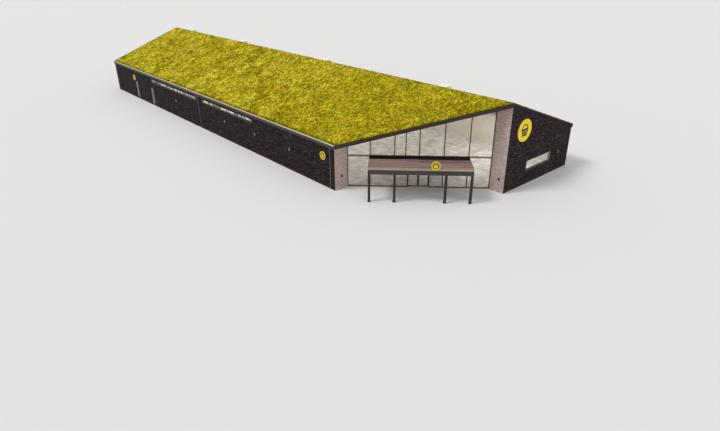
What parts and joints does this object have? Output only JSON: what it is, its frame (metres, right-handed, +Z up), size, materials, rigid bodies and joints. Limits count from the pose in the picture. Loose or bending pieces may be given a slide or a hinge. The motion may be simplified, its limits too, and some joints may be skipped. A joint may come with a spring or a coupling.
{
  "type": "supermarket building, 1:2 scale model",
  "caption": "Low gabled hall with a planted roof, dark brick walls, a cut glazed corner entrance with sliding doors and a boarded canopy.",
  "frame": {"origin": "middle of the roof's outline seen from above, at ground level", "axes": "+Y along the ridge from the entrance end to the rear, +X to the right seen from the entrance, +Z up"},
  "size_m": [10.28, 30.73, 3.9592],
  "materials": {
    "floor": "polished screed",
    "dark_brick": "dark brown-black brick",
    "light_brick": "grey-brown brick",
    "dark_metal": "satin dark bronze paint",
    "pale_metal": "satin pale grey paint",
    "grey_metal": "satin dark grey paint",
    "glass": "clear glazing",
    "dome": "opal acrylic",
    "deck": "pale lined deck",
    "planting": "yellow-green stonecrop",
    "timber": "glued spruce",
    "boards": "oiled brown boards",
    "felt": "black roofing felt",
    "sign": "yellow enamel",
    "lamp": "grey paint"
  },
  "bodies": {
    "building": {"floor_slab": "floor", "left_wall": "dark_brick", "right_wall": "dark_brick", "rear_gable_wall": "dark_brick", "front_gable_wall": "dark_brick", "entrance_return_left": "light_brick", "entrance_return_right": "light_brick", "side_window_frames": "dark_metal", "side_window_glass": "glass", "gable_window_frame": "dark_metal", "gable_window_glass": "glass", "roof_deck_left": "deck", "roof_deck_right": "deck", "roof_planting_left": "planting", "roof_planting_right": "planting", "rooflight_curbs": "pale_metal", "rooflight_domes": "dome", "fascia_entrance": "dark_metal", "fascia_eaves": "dark_metal", "fascia_gables": "dark_metal", "roof_capping": "pale_metal", "rafters_left": "timber", "rafters_right": "timber", "entrance_screen_left": "dark_metal", "entrance_screen_right": "dark_metal", "entrance_screen_top": "dark_metal", "entrance_glass_lower": "glass", "entrance_glass_upper": "glass", "door_lintel_and_track": "dark_metal", "canopy_posts": "grey_metal", "canopy_front_beam": "grey_metal", "canopy_side_beams": "grey_metal", "canopy_boards": "boards", "canopy_edge_strip": "pale_metal", "canopy_roof_felt": "felt", "canopy_soffit": "boards", "gable_sign": "sign", "side_signs": "sign", "canopy_sign": "sign", "wall_lamps": "lamp", "downpipes": "grey_metal"},
    "left_door": {"door_leaf_left": "dark_metal", "door_glass_left": "glass"},
    "right_door": {"door_leaf_right": "dark_metal", "door_glass_right": "glass"}
  },
  "joints": [
    {"name": "left_door_slide", "type": "slide", "parent": "building", "child": "left_door", "axis": [-0.7071, 0.7071, 0], "range_m": [0, 0.43]},
    {"name": "right_door_slide", "type": "slide", "parent": "building", "child": "right_door", "axis": [0.7071, -0.7071, 0], "range_m": [0, 0.43]}
  ],
  "couplings": [
    {"joint": "right_door_slide", "follows": "left_door_slide", "ratio": 1}
  ]
}
